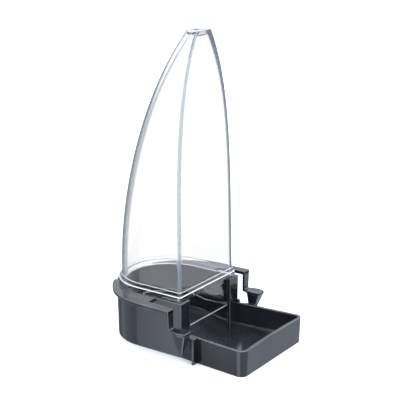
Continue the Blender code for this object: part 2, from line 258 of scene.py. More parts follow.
@dataclass(frozen=True)
class ClearStyrene:
    """General-purpose clear styrene from a polished mould.

    It gives a water-clear wall that shows only at its edges, with slow ripples where the plastic flowed.
    Painted shade tints and dims the two front ribs, upright walls seen edge-on and light trapped in the wall;
    painted highlights whiten the marked edges.
    """

    name: str = "clear_styrene_moulded"
    ior: float = 1.57
    gloss: float = 0.01
    ripple_mm: float = 14.0
    ripple_height_mm: float = 0.006
    edge_tint: str = "#aab2c0"      # what is left after a long way through the plastic
    edge_density: float = 25.0      # per metre
    # painted shade on the two front ribs: a grey tint, and a share made to scatter instead of pass light
    rib_painted_shade: str = "#969ba4"
    rib_painted_shade_share: float = 0.34          # share of a rib made to scatter light instead of passing it on: a painted shade
    # painted shade where an upright wall is seen edge-on
    rim_painted_shade: str = "#5b636f"
    rim_from: float = 0.58
    rim_to: float = 0.72
    # painted shade where light is trapped inside the wall
    trapped_painted_shade: str = "#949ca9"
    trapped_painted_shade_share: float = 0.34        # the same painted shade's share for light that is trapped inside the wall, at each bounce
    trapped_span: FlatPoint = (0.28, 0.40)  # how edge-on light meets the inside before it can't get out
    level_span: FlatPoint = (0.75, 0.95)    # faces this level take no rim tint
    ripple_stretch: Point = (1.0, 1.0, 0.25)

    def trapped(self, tree: Tree, facing: Socket) -> Socket:
        """Finds light that runs along inside the wall, past the angle at which it could get out, for a
        painted shade.

        Args:
            tree: The material's node tree.
            facing: How edge-on the surface is met.

        Returns:
            An output that is 1 for trapped light and 0 for light that passes.
        """
        inside = add_node(tree, "ShaderNodeNewGeometry").outputs["Backfacing"]
        span = {"From Min": self.trapped_span[0], "From Max": self.trapped_span[1]}
        steep = add_node(tree, "ShaderNodeMapRange", SMOOTH, {"Value": facing, **span}).outputs["Result"]
        return add_node(tree, "ShaderNodeMath", MULTIPLY, {0: steep, 1: inside}).outputs["Value"]

    def rim(self, tree: Tree, facing: Socket) -> Socket:
        """Finds where an upright wall is met at a grazing angle, for a painted shade.

        Args:
            tree: The material's node tree.
            facing: How edge-on the surface is met.

        Returns:
            An output that is 1 there and 0 elsewhere.
        """
        span = {"From Min": self.rim_from, "From Max": self.rim_to}
        grazing = add_node(tree, "ShaderNodeMapRange", SMOOTH, {"Value": facing, **span}).outputs["Result"]
        normal = add_node(tree, "ShaderNodeNewGeometry").outputs["Normal"]
        tilt = add_node(tree, "ShaderNodeSeparateXYZ", inputs={"Vector": normal}).outputs["Z"]
        level = add_node(tree, "ShaderNodeMath", {"operation": "ABSOLUTE"}, {0: tilt}).outputs["Value"]
        span = {"From Min": self.level_span[0], "From Max": self.level_span[1], "To Min": 1.0, "To Max": 0.0}
        upright = add_node(tree, "ShaderNodeMapRange", SMOOTH, {"Value": level, **span}).outputs["Result"]
        return add_node(tree, "ShaderNodeMath", MULTIPLY, {0: grazing, 1: upright}).outputs["Value"]

    def dress(self, tree: Tree) -> dict:
        """Paints shade into the plastic, tinting and dimming it along the two front ribs, at a grazing view
        and inside the wall, and turns the marked edges white as a painted highlight.

        Args:
            tree: The material's node tree.

        Returns:
            The shader's colour and transmission inputs.
        """
        rib, painted_glint = (
            add_node(tree, "ShaderNodeAttribute", {"attribute_name": name}).outputs["Fac"]
            for name in (RIB_SHADE_ATTRIBUTE, PAINTED_GLINT_ATTRIBUTE)
        )
        facing = add_node(tree, "ShaderNodeLayerWeight", inputs={"Blend": 0.5}).outputs["Facing"]
        trapped = self.trapped(tree, facing)
        rim = self.rim(tree, facing)
        colour = srgb("#ffffff")
        for share, tint in ((rib, self.rib_painted_shade), (rim, self.rim_painted_shade), (trapped, self.trapped_painted_shade)):
            colour = add_node(tree, "ShaderNodeMix", COLOURS, {0: share, 6: colour, 7: srgb(tint)}).outputs[2]
        # painted highlight: the marked edges lose their transmission and turn white
        most = painted_glint
        for share, haze in ((rib, self.rib_painted_shade_share), (trapped, self.trapped_painted_shade_share)):
            scaled = add_node(tree, "ShaderNodeMath", MULTIPLY, {0: share, 1: haze}).outputs["Value"]
            most = add_node(tree, "ShaderNodeMath", MAXIMUM, {0: scaled, 1: most}).outputs["Value"]
        clear = add_node(tree, "ShaderNodeMath", SUBTRACT, {0: 1.0, 1: most}).outputs["Value"]
        return {"Base Color": colour, "Transmission Weight": clear}

    def build(self) -> Material:
        """Builds the material.

        Returns:
            The finished material, which lets the lamps through to what is inside.
        """
        material = bpy.data.materials.new(self.name)
        material.use_nodes = True
        tree = material.node_tree
        place = add_node(tree, "ShaderNodeTexCoord").outputs["Object"]
        stretch = {"Vector": place, "Scale": self.ripple_stretch}
        flow = add_node(tree, "ShaderNodeMapping", inputs=stretch).outputs["Vector"]
        pattern = {"Vector": flow, "Scale": per_metre(self.ripple_mm), "Detail": 1.0, "Roughness": 0.4}
        ripple = add_node(tree, "ShaderNodeTexNoise", inputs=pattern).outputs["Fac"]
        relief = {"Strength": 1.0, "Distance": self.ripple_height_mm * MM, "Height": ripple}
        bump = add_node(tree, "ShaderNodeBump", inputs=relief).outputs["Normal"]
        shader = tree.nodes["Principled BSDF"]
        fixed = {"Roughness": self.gloss, "IOR": self.ior}
        feed(tree, shader, {**self.dress(tree), **fixed, "Normal": bump})

        shadow = add_node(tree, "ShaderNodeLightPath").outputs["Is Shadow Ray"]
        passing = add_node(tree, "ShaderNodeBsdfTransparent").outputs["BSDF"]
        mix = add_node(tree, "ShaderNodeMixShader", inputs={0: shadow, 1: shader.outputs["BSDF"], 2: passing})
        soak = {"Color": srgb(self.edge_tint), "Density": self.edge_density}
        depth = add_node(tree, "ShaderNodeVolumeAbsorption", inputs=soak).outputs["Volume"]
        feed(tree, tree.nodes["Material Output"], {"Surface": mix.outputs["Shader"], "Volume": depth})
        return material


# Mesh helpers


def new_piece(name: str, mesh: bpy.types.Mesh, sharp_deg: float = 40.0) -> Piece:
    """Makes an object at the origin from a finished mesh, shaded smooth between its sharp edges.

    Args:
        name: The piece's name.
        mesh: Its mesh, in metres, in place.
        sharp_deg: Edges that turn more than this stay sharp.

    Returns:
        The linked object.
    """
    mesh.name = name
    mesh.shade_smooth()
    mesh.set_sharp_from_angle(angle=math.radians(sharp_deg))
    piece = bpy.data.objects.new(name, mesh)
    bpy.context.scene.collection.objects.link(piece)
    return piece


def mesh_from(build: bmesh.types.BMesh) -> bpy.types.Mesh:
    """Closes a bmesh, given in millimetres, into a mesh in metres with outward faces."""
    bmesh.ops.remove_doubles(build, verts=build.verts, dist=0.002)
    bmesh.ops.recalc_face_normals(build, faces=build.faces)
    bmesh.ops.scale(build, vec=(MM, MM, MM), verts=build.verts)
    mesh = bpy.data.meshes.new("mesh")
    build.to_mesh(mesh)
    build.free()
    return mesh


def bridge(build: bmesh.types.BMesh, low: list, high: list) -> None:
    """Skins two closed rows of vertices, of equal length, with a strip of quads."""
    for i in range(len(low)):
        j = (i + 1) % len(low)
        build.faces.new((low[i], low[j], high[j], high[i]))


def loft(name: str, rings: Sequence[Sequence[Point]], sharp_deg: float = 40.0) -> Piece:
    """Skins rings of equal length, caps both ends and makes a piece of them.

    Args:
        name: The piece's name.
        rings: Closed rings of points, in millimetres, from one end of the solid to the other.
        sharp_deg: Edges that turn more than this stay sharp.

    Returns:
        The piece.
    """
    build = bmesh.new()
    rows = [[build.verts.new(point) for point in ring] for ring in rings]
    for low, high in zip(rows, rows[1:]):
        bridge(build, low, high)
    build.faces.new(rows[0])
    build.faces.new(rows[-1])
    return new_piece(name, mesh_from(build), sharp_deg)


def box(x_low: float, x_high: float, y_front: float, y_rear: float) -> list[FlatPoint]:
    """The corners of a flat rectangle, from its low front one."""
    return [(x_low, y_front), (x_high, y_front), (x_high, y_rear), (x_low, y_rear)]


def arc(centre: FlatPoint, radius: float, start_deg: float, end_deg: float, steps: int) -> list[FlatPoint]:
    """Points along a flat arc, both ends included.

    Args:
        centre: The arc's centre.
        radius: Its radius.
        start_deg: The first point's angle.
        end_deg: The last point's angle.
        steps: The number of segments.

    Returns:
        steps + 1 points.
    """
    angles = [math.radians(start_deg + (end_deg - start_deg) * i / steps) for i in range(steps + 1)]
    return [(centre[0] + radius * math.cos(a), centre[1] + radius * math.sin(a)) for a in angles]


def round_corners(outline: Sequence[FlatPoint], radius: float, steps: int = 4) -> list[FlatPoint]:
    """Rounds the corners of a closed outline.

    Args:
        outline: The corners, in order.
        radius: The rounding, cut down where a side is too short for it.
        steps: Segments for each corner.

    Returns:
        The rounded outline.
    """
    rounded = []
    count = len(outline)
    for i in range(count):
        corner = Vector(outline[i])
        before = Vector(outline[i - 1]) - corner
        after = Vector(outline[(i + 1) % count]) - corner
        reach = min(radius, 0.45 * before.length, 0.45 * after.length)
        start, end = corner + before.normalized() * reach, corner + after.normalized() * reach
        for k in range(steps + 1):
            t = k / steps
            point = start * (1 - t) ** 2 + corner * 2 * t * (1 - t) + end * t**2
            rounded.append((point.x, point.y))
    return rounded


def at_height(path: Sequence[FlatPoint], z: float, side: Side = Side.RIGHT) -> list[Point]:
    """Lifts a flat path to a height, on the side asked for."""
    return [(side.value * x, y, z) for x, y in path]


def soften(piece: Piece, width_mm: float, segments: int = 3, angle_deg: float = 40.0) -> None:
    """Rounds a piece's edges with a bevel that is applied to its mesh.

    Args:
        piece: The piece, at the origin.
        width_mm: The bevel's width.
        segments: Its segments.
        angle_deg: Edges that turn less than this are left alone.
    """
    bevel = piece.modifiers.new("soft_edges", "BEVEL")
    bevel.width = width_mm * MM
    bevel.segments = segments
    bevel.limit_method = "ANGLE"
    bevel.angle_limit = math.radians(angle_deg)
    bevel.harden_normals = False
    apply_modifiers(piece)
    piece.data.shade_smooth()
    piece.data.set_sharp_from_angle(angle=math.radians(angle_deg))
    settle_normals(piece)


def settle_normals(piece: Piece) -> None:
    """Lets the large faces set the shading, so that flat walls look flat beside their rounded edges."""
    weighted = piece.modifiers.new("settled", "WEIGHTED_NORMAL")
    weighted.mode = "FACE_AREA"
    weighted.keep_sharp = True
    apply_modifiers(piece)


def apply_modifiers(piece: Piece) -> None:
    """Turns what the modifiers make into the piece's own plain mesh."""
    graph = bpy.context.evaluated_depsgraph_get()
    graph.update()
    source = piece.evaluated_get(graph)
    made = bpy.data.meshes.new_from_object(source, preserve_all_data_layers=True, depsgraph=graph)
    piece.modifiers.clear()
    old = piece.data
    piece.data = made
    made.name = piece.name
    bpy.data.meshes.remove(old)


def mark_edges(piece: Piece, widest_mm: float = 0.32, turn_deg: float = 9.0) -> None:
    """Marks the narrow faces that round a piece's edges, for the finish's painted highlight.

    Args:
        piece: The finished piece.
        widest_mm: Faces wider than this are not part of a rounding.
        turn_deg: The least turn at two of a rounding face's edges.
    """
    build = bmesh.new()
    build.from_mesh(piece.data)
    build.faces.ensure_lookup_table()
    least = math.radians(turn_deg)
    marks = []
    for face in build.faces:
        longest = max(edge.calc_length() for edge in face.edges)
        narrow = face.calc_area() / max(longest, 1e-9) < widest_mm * MM
        turns = sum(1 for edge in face.edges if edge.calc_face_angle(0.0) > least)
        marks.append(1.0 if narrow and turns >= 2 else 0.0)
    build.free()
    attribute = piece.data.attributes.new(EDGE_ATTRIBUTE, "FLOAT", "FACE")
    attribute.data.foreach_set("value", marks)


def finish_piece(piece: Piece, material: Material, body: Body, slot: Slot, nodes: Sequence[str]) -> None:
    """Dresses a piece and hands it to the frame.

    Args:
        piece: The finished piece.
        material: Its finish.
        body: The body that it rides on.
        slot: Its finish's slot; a piece in the base slot gets its edges marked.
        nodes: The CAD nodes that it stands for.
    """
    piece.data.materials.clear()
    piece.data.materials.append(material)
    if slot is Slot.BASE:
        mark_edges(piece)
    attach(piece, body.value)
    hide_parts(*nodes)
    LOG.info("%s: %d faces", piece.name, len(piece.data.polygons))


# Swept walls


@dataclass(frozen=True)
class SweptWall:
    """A moulded wall that follows a path on the floor, with draft and rounded edges.

    The node tree is shared, and each wall gives its own sizes through the modifier's named inputs.
    """

    height: float
    thick: float
    lean: float
    edge: float

    TREE_NAME = "swept_wall"

    def tree(self) -> tuple[Tree, dict[str, str]]:
        """Builds the node tree, or finds it again.

        Returns:
            The tree, and each input's name with its identifier.
        """
        tree = bpy.data.node_groups.get(self.TREE_NAME)
        if tree is None:
            tree = self._build_tree()
        sockets = {item.name: item.identifier for item in tree.interface.items_tree if item.in_out == "INPUT"}
        return tree, sockets

    def _build_tree(self) -> Tree:
        """Wires the tree: a rounded, leaning section carried along the path.

        Returns:
            The new tree.
        """
        tree = bpy.data.node_groups.new(self.TREE_NAME, "GeometryNodeTree")
        face = tree.interface
        face.new_socket("Path", in_out="INPUT", socket_type="NodeSocketGeometry")
        for name in ("Height", "Thickness", "Lean", "Edge Radius"):
            face.new_socket(name, in_out="INPUT", socket_type="NodeSocketFloat")
        face.new_socket("Finish", in_out="INPUT", socket_type="NodeSocketMaterial")
        face.new_socket("Wall", in_out="OUTPUT", socket_type="NodeSocketGeometry")
        given = add_node(tree, "NodeGroupInput").outputs
        path = add_node(tree, "GeometryNodeMeshToCurve", inputs={"Mesh": given["Path"]}).outputs["Curve"]
        facing_up = {"mode": "Z_UP"}
        upright = add_node(tree, "GeometryNodeSetCurveNormal", facing_up, {"Curve": path}).outputs["Curve"]
        sizes = {"Width": given["Thickness"], "Height": given["Height"]}
        section = add_node(tree, "GeometryNodeCurvePrimitiveQuadrilateral", inputs=sizes).outputs["Curve"]
        bend = {"Curve": section, "Count": 4, "Limit Radius": True, "Radius": given["Edge Radius"]}
        rounded = add_node(tree, "GeometryNodeFilletCurve", {"mode": "POLY"}, bend).outputs["Curve"]
        where = add_node(tree, "GeometryNodeInputPosition").outputs["Position"]
        parts = add_node(tree, "ShaderNodeSeparateXYZ", inputs={"Vector": where}).outputs
        made = {"x": parts["X"], "y": parts["Y"], "height": given["Height"]}
        made |= {"thick": given["Thickness"], "lean": given["Lean"]}
        steps = (
            ("half_up", "MULTIPLY", "height", 0.5),
            ("half_in", "MULTIPLY", "thick", 0.5),
            ("level", "ADD", "y", "half_up"),
            ("share", "DIVIDE", "level", "height"),
            ("slant", "MULTIPLY", "share", "lean"),
            ("across", "SUBTRACT", "x", "half_in"),
            ("leaning", "ADD", "across", "slant"),
            ("downward", "MULTIPLY", "level", -1.0),
        )
        for name, operation, first, second in steps:
            inputs = {0: made[first], 1: made.get(second, second)}
            made[name] = add_node(tree, "ShaderNodeMath", {"operation": operation}, inputs).outputs["Value"]
        moved = {"X": made["leaning"], "Y": made["downward"]}
        place = add_node(tree, "ShaderNodeCombineXYZ", inputs=moved).outputs["Vector"]
        placed = {"Geometry": rounded, "Position": place}
        drafted = add_node(tree, "GeometryNodeSetPosition", inputs=placed).outputs["Geometry"]
        sweep = {"Curve": upright, "Profile Curve": drafted, "Fill Caps": True}
        wall = add_node(tree, "GeometryNodeCurveToMesh", inputs=sweep).outputs["Mesh"]
        real = add_node(tree, "GeometryNodeRealizeInstances", inputs={"Geometry": wall}).outputs["Geometry"]
        dress = {"Geometry": real, "Material": given["Finish"]}
        dressed = add_node(tree, "GeometryNodeSetMaterial", inputs=dress).outputs["Geometry"]
        add_node(tree, "NodeGroupOutput", inputs={"Wall": dressed})
        return tree

    def build(self, name: str, path: Sequence[FlatPoint], material: Material) -> Piece:
        """Sweeps the wall along a path.

        Args:
            name: The piece's name.
            path: The wall's outer foot line, in millimetres, with the outside on its right.
            material: Its finish.

        Returns:
            The wall as a plain mesh object.
        """
        mesh = bpy.data.meshes.new(name)
        points = [(x * MM, y * MM, 0.0) for x, y in path]
        mesh.from_pydata(points, [(i, i + 1) for i in range(len(points) - 1)], [])
        piece = bpy.data.objects.new(name, mesh)
        bpy.context.scene.collection.objects.link(piece)
        tree, sockets = self.tree()
        modifier = piece.modifiers.new("sweep", "NODES")
        modifier.node_group = tree
        sizes = {"Height": self.height, "Thickness": self.thick, "Lean": self.lean, "Edge Radius": self.edge}
        for label, size in sizes.items():
            modifier[sockets[label]] = size * MM
        modifier[sockets["Finish"]] = material
        apply_modifiers(piece)
        build = bmesh.new()
        build.from_mesh(piece.data)
        bmesh.ops.remove_doubles(build, verts=build.verts, dist=0.002 * MM)
        bmesh.ops.recalc_face_normals(build, faces=build.faces)
        build.to_mesh(piece.data)
        build.free()
        piece.data.shade_smooth()
        piece.data.set_sharp_from_angle(angle=math.radians(35.0))
        settle_normals(piece)
        return piece


# Sub-assemblies


@dataclass
class Cup:
    """The D-shaped cup that holds the foot of the hopper, with its two window posts."""

    finish: Material
    half_low: float = 31.9
    half_high: float = 32.6
    centre_y: float = 34.5
    height: float = 35.9
    thick: float = 1.6
    edge: float = 0.45
    start_y: float = 1.5
    post_inner: float = 22.6
    post_depth: float = 2.3
    post_edge: float = 0.45
    tuck: float = 0.05

    def wall(self) -> Piece:
        """The U-shaped wall.

        Returns:
            The piece.
        """
        half = self.half_low
        back = arc((0.0, self.centre_y), half, 0.0, 180.0, 72)
        path = [(half, self.start_y)] + back + [(-half, self.start_y)]
        swept = SweptWall(self.height, self.thick, self.half_high - self.half_low, self.edge)
        return swept.build("cup_shell", path, self.finish)

    def post(self, side: Side) -> Piece:
        """One window post, drafted with the wall.

        Args:
            side: Which side it is on.

        Returns:
            The piece.
        """
        ends = ((0.0, self.half_low - self.tuck), (self.height - self.tuck, self.half_high - self.tuck))
        rings = [at_height(box(self.post_inner, half, 0.0, self.post_depth), z, side) for z, half in ends]
        piece = loft(f"window_post_front_{side.word}", rings)
        soften(piece, self.post_edge)
        return piece

    def make(self) -> None:
        """Builds and dresses the wall and the posts."""
        finish_piece(self.wall(), self.finish, Body.BASE, Slot.BASE, ("cup_wall",))
        for side in Side:
            finish_piece(self.post(side), self.finish, Body.BASE, Slot.BASE, (f"window_post_{side.word}",))


@dataclass
class Tray:
    """The open feed tray in front of the cup, and the one floor that runs under both."""

    finish: Material
    cup: Cup
    height: float = 17.1
    thick: float = 2.0
    lean: float = 0.55
    edge: float = 0.4
    reach: float = 47.6
    rear_half: float = 31.7
    front_half: float = 35.4
    corner: float = 4.6
    rear_y: float = 0.6
    bow: float = 0.8
    floor_top: float = 2.4
    floor_low: float = 0.25
    floor_inset: float = 0.9
    fillet: float = 1.6
    ramp_from: float = 4.0
    ramp_to: float = 36.0
    ramp_rise: float = 3.4
    floor_step: float = 1.0
    floor_from: float = -44.0

    def half_at(self, y: float) -> float:
        """Outer half width of the flared tray at y, at its foot."""
        return self.rear_half + (self.front_half - self.rear_half) * max(0.0, -y) / self.reach

    def path(self) -> list[FlatPoint]:
        """The wall's foot line, from the left rear end round the front to the right rear end."""
        centre_y = -self.reach + self.corner
        centre_x = self.half_at(centre_y) - self.corner
        right = arc((centre_x, centre_y), self.corner, -90.0, 0.0, 10)
        left = [(-x, y) for x, y in reversed(right)]
        front = [(centre_x * (i / 6.0 - 1.0), -self.reach) for i in range(1, 12)]
        return [(-self.rear_half, self.rear_y)] + left + front + right + [(self.rear_half, self.rear_y)]

    def wall(self) -> Piece:
        """The tray's wall, whose front rim bows in a little.

        Returns:
            The piece.
        """
        swept = SweptWall(self.height, self.thick, self.lean, self.edge)
        piece = swept.build("tray_wall", self.path(), self.finish)
        flat = self.front_half - self.corner
        for vertex in piece.data.vertices:
            x, y, z = vertex.co / MM
            if y < -self.reach + self.corner and abs(x) < flat:
                vertex.co.y += self.bow * MM * (z / self.height) * (1.0 - (x / flat) ** 2)
        return piece

    def inner_half(self, y: float, inset: float) -> float:
        """Half width at y of the tray's foot outline moved in by inset, round its front corners too."""
        centre_y = -self.reach + self.corner
        if y >= centre_y:
            return self.half_at(y) - inset
        radius = self.corner - inset
        return self.half_at(centre_y) - self.corner + math.sqrt(max(0.0, radius**2 - (centre_y - y) ** 2))

    def floor_half(self, y: float) -> float:
        """Half width of the floor at y, which ends inside the walls."""
        cup = self.cup
        if y > cup.centre_y:
            radius = cup.half_low - self.floor_inset
            return math.sqrt(max(0.0, radius**2 - (y - cup.centre_y) ** 2))
        if y > 0.0:
            return cup.half_low - self.floor_inset
        return self.inner_half(y, self.floor_inset)

    def floor_height(self, x: float, y: float) -> float:
        """Height of the floor's upper face, with the ramp and the fillets along the walls."""
        cup = self.cup
        share = min(1.0, max(0.0, (y - self.ramp_from) / (self.ramp_to - self.ramp_from)))
        ramp = self.ramp_rise * share * share * (3.0 - 2.0 * share)
        if y > cup.centre_y:
            room = cup.half_low - cup.thick - math.hypot(x, y - cup.centre_y)
        elif y > 0.0:
            room = cup.half_low - cup.thick - abs(x)
        else:
            centre_y = -self.reach + self.corner
            centre_x = self.half_at(centre_y) - self.corner
            room = min(self.half_at(y) - self.thick - abs(x), y + self.reach - self.thick)
            if y < centre_y and abs(x) > centre_x:
                room = self.corner - self.thick - math.hypot(abs(x) - centre_x, y - centre_y)
        gap = min(self.fillet, max(0.0, room))
        return self.floor_top + ramp + self.fillet - math.sqrt(self.fillet**2 - (self.fillet - gap) ** 2)

    def floor(self) -> Piece:
        """The floor pan under the tray and the cup.

        Returns:
            The piece.
        """
        cup = self.cup
        front_y = -self.reach + self.floor_inset
        back_y = cup.centre_y + cup.half_low - self.floor_inset - 0.02
        edge_steps = [self.floor_inset * 0.5 + self.fillet * 1.4 * (i / 9.0) ** 1.5 for i in range(10)]
        rows = [front_y] + [front_y + step for step in edge_steps]
        rows += [self.floor_from + self.floor_step * i for i in range(int(back_y - self.floor_from))]
        rows += [back_y - step for step in reversed(edge_steps)] + [back_y]
        rows = sorted(set(round(y, 3) for y in rows))
        rings = []
        for y in rows:
            half = self.floor_half(y)
            near = [0.5 * self.floor_inset + self.fillet * 1.6 * (i / 8.0) ** 1.5 for i in range(9)]
            edge = [half - min(half, step) for step in near]
            middle = [edge[-1] * (1.0 - i / 6.0) for i in range(1, 6)]
            right = [half] + edge + middle
            across = right + [0.0] + [-x for x in reversed(right)]
            top = [(x, y, self.floor_height(x, y)) for x in across]
            rings.append(top + [(-half, y, self.floor_low), (half, y, self.floor_low)])
        return loft("floor_pan", rings, 50.0)

    def make(self) -> None:
        """Builds and dresses the wall and the floor."""
        walls = ("tray_front_wall", "tray_side_left", "tray_side_right")
        finish_piece(self.wall(), self.finish, Body.BASE, Slot.BASE, walls)
        finish_piece(self.floor(), self.finish, Body.BASE, Slot.BASE, ("base_floor", "cup_ramp"))


@dataclass
class Hooks:
    """On each side: the collar crescent with its arm, the leg, the shelf and the prong."""

    finish: Material
    cup: Cup
    top: float = 35.8
    thick: float = 2.4
    radius: float = 45.8
    centre_y: float = 21.4
    front_half: float = 46.2
    arm_inner: float = 39.9
    arm_rear_inner: float = 39.2
    slot_end_y: float = 20.0
    tip_deg: float = 64.0
    buried: float = 0.8
    leg_inner: float = 40.2
    leg_outer_high: float = 46.1
    leg_outer_low: float = 45.3
    leg_thick: float = 1.9
    shelf_top: float = 23.3
    shelf_thick: float = 2.0
    shelf_dish: float = 0.3
    prong_low: float = 8.4
    strip_rear_y: float = 4.0       # the strip ends inside the arm at its rear
    strip_front_y: float = -1.5     # and inside the shelf at its front
    strip_tuck: float = 0.05
    strip_bend: float = 1.1
    prong_blunt: float = 0.35
    prong_tip: tuple[float, ...] = (39.4, 42.0, -7.3, -4.4)     # inner, outer, front and rear faces
    prong_spread: tuple[float, ...] = (-0.9, 4.0, -4.5, 1.9)    # how far each has moved at the shelf
    prong_point: tuple[float, ...] = (39.9, 41.5, -6.8, -4.9)

    def collar(self, side: Side) -> Piece:
        """The crescent flange and the arm that runs on from it to the front.

        Args:
            side: Which side it is on.

        Returns:
            The piece.
        """
        cup = self.cup
        outer = [(self.front_half, 0.0)] + arc((0.0, self.centre_y), self.radius, 0.0, self.tip_deg, 28)
        tip = outer[-1]
        inner_radius = cup.half_high - self.buried
        end = math.degrees(math.atan2(tip[1] - cup.centre_y, tip[0]))
        inner = arc((0.0, cup.centre_y), inner_radius, end, 0.0, 24)
        end_y = self.slot_end_y
        inner += [(inner_radius, end_y), (self.arm_rear_inner, end_y), (self.arm_inner, 0.0)]
        rings = [at_height(outer + inner, z, side) for z in (self.top - self.thick, self.top)]
        piece = loft(f"collar_arm_{side.word}", rings)
        soften(piece, 0.4)
        return piece

    def leg(self, side: Side) -> Piece:
        """The strip that turns down from the arm and forward into the shelf, with rounded bends.

        Args:
            side: Which side it is on.

        Returns:
            The piece.
        """
        low, tuck = self.shelf_top - self.shelf_thick, self.strip_tuck
        under, roof, sill = self.top - self.thick + tuck, self.top - tuck, self.shelf_top - 2.0 * tuck
        outline = [
            (self.strip_rear_y, roof),
            (self.strip_rear_y, under),
            (self.leg_thick, under),
            (self.leg_thick, low + tuck),
            (self.strip_front_y, low + tuck),
            (self.strip_front_y, sill),
            (0.0, sill),
            (0.0, roof),
        ]
        bent = round_corners(outline, self.strip_bend, 5)
        rings = []
        for x_low, x_high in ((self.leg_inner, self.leg_inner), (self.leg_outer_low, self.leg_outer_high)):
            shares = [(z - low) / (self.top - low) for _, z in bent]
            across = [side.value * (x_low + (x_high - x_low) * share) for share in shares]
            rings.append([(x, y, z) for x, (y, z) in zip(across, bent)])
        piece = loft(f"hook_strip_{side.word}", rings)
        soften(piece, 0.35)
        return piece

    def shelf_outline(self, grow: float) -> list[FlatPoint]:
        """The shelf's plan outline on the +X side, grown by some millimetres."""
        corners = [
            (40.1 - grow, -0.2 + grow),
            (38.3 - grow, -3.4),
            (37.9 - grow, -6.8),
            (38.6 - grow, -12.2 - grow),
            (45.9 + grow, -12.2 - grow),
            (46.9 + grow, -7.4),
            (46.5 + grow, -3.8),
            (45.0 + grow, -0.2 + grow),
        ]
        return round_corners(corners, 1.2, 4)

    def shelf(self, side: Side) -> Piece:
        """The shelf, slightly dished inside a narrow rim.

        Args:
            side: Which side it is on.

        Returns:
            The piece.
        """
        low, high = self.shelf_top - self.shelf_thick, self.shelf_top
        levels = (
            (low, -0.35),
            (low + 0.1, -0.12),
            (low + 0.35, 0.0),
            (high - 0.3, 0.0),
            (high - 0.08, -0.1),
            (high, -0.35),
            (high, -0.7),
            (high - self.shelf_dish, -1.2),
            (high - self.shelf_dish - 0.05, -2.0),
        )
        rings = [at_height(self.shelf_outline(grow), z, side) for z, grow in levels]
        return loft(f"hook_shelf_top_{side.word}", rings, 60.0)

    def prong(self, side: Side) -> Piece:
        """The tapered prong below the shelf: nearly upright inside, sloped outside, with a blunt tip.

        Args:
            side: Which side it is on.

        Returns:
            The piece.
        """
        high = self.shelf_top - self.shelf_thick + 0.3
        stations = 10
        blunt = round_corners(box(*self.prong_point), 0.7)
        rings = [at_height(blunt, self.prong_low - self.prong_blunt, side)]
        for i in range(stations + 1):
            share = i / stations
            faces = [tip + spread * share for tip, spread in zip(self.prong_tip, self.prong_spread)]
            z = self.prong_low + (high - self.prong_low) * share
            rings.append(at_height(round_corners(box(*faces), 0.8), z, side))
        return loft(f"hook_prong_body_{side.word}", rings, 60.0)

    def make(self) -> None:
        """Builds and dresses both sides."""
        for side in Side:
            word = side.word
            built = (
                (self.collar(side), (f"collar_{word}", f"hook_arm_{word}")),
                (self.leg(side), (f"hook_leg_{word}",)),
                (self.shelf(side), (f"hook_shelf_{word}",)),
                (self.prong(side), (f"hook_prong_{word}",)),
            )
            for piece, nodes in built:
                finish_piece(piece, self.finish, Body.BASE, Slot.BASE, nodes)


@dataclass
class WireStops:
    """The fin outside each tray wall that stops a cage wire, and the peg at the tray's rear corner."""

    finish: Material
    tray: Tray
    front_y: float = -12.4
    thick: float = 1.3
    outer: float = 37.0
    gusset_rear_y: float = -5.6
    gusset_foot: float = 7.0
    buried: float = 0.7
    web_length: float = 1.9
    web_rise: float = 2.2

    def fin(self, side: Side) -> Piece:
        """The fin with the gusset behind its upper half.

        Args:
            side: Which side it is on.

        Returns:
            The piece.
        """
        tray = self.tray
        rings = []
        rear = self.front_y + self.thick
        for z, reach in ((0.05, 0.0), (self.gusset_foot, 0.0), (tray.height - 0.05, 1.0)):
            lean = tray.lean * z / tray.height
            wall = tray.half_at(self.front_y) + lean - self.buried
            back_y = rear + 0.35 + (self.gusset_rear_y - rear) * reach
            ring = [
                (wall, self.front_y),
                (self.outer, self.front_y),
                (self.outer, rear),
                (wall + self.buried, back_y),
                (wall, back_y),
            ]
            rings.append(at_height(ring, z, side))
        piece = loft(f"stop_fin_{side.word}", rings)
        soften(piece, 0.22, 2)
        return piece

    def web(self, side: Side) -> Piece:
        """The small peg where the tray's rim meets the post.

        Args:
            side: Which side it is on.

        Returns:
            The piece.
        """
        tray = self.tray
        outer = tray.rear_half + tray.lean - 0.1
        plan = box(outer - 1.5, outer, 0.5, -self.web_length)
        rings = [at_height(plan, z, side) for z in (tray.height - 1.0, tray.height + self.web_rise)]
        piece = loft(f"corner_peg_{side.word}", rings)
        soften(piece, 0.3)
        return piece

    def make(self) -> None:
        """Builds and dresses both sides."""
        for side in Side:
            finish_piece(self.fin(side), self.finish, Body.BASE, Slot.BASE, (f"wire_stop_{side.word}",))
            finish_piece(self.web(side), self.finish, Body.BASE, Slot.BASE, (f"corner_web_{side.word}",))


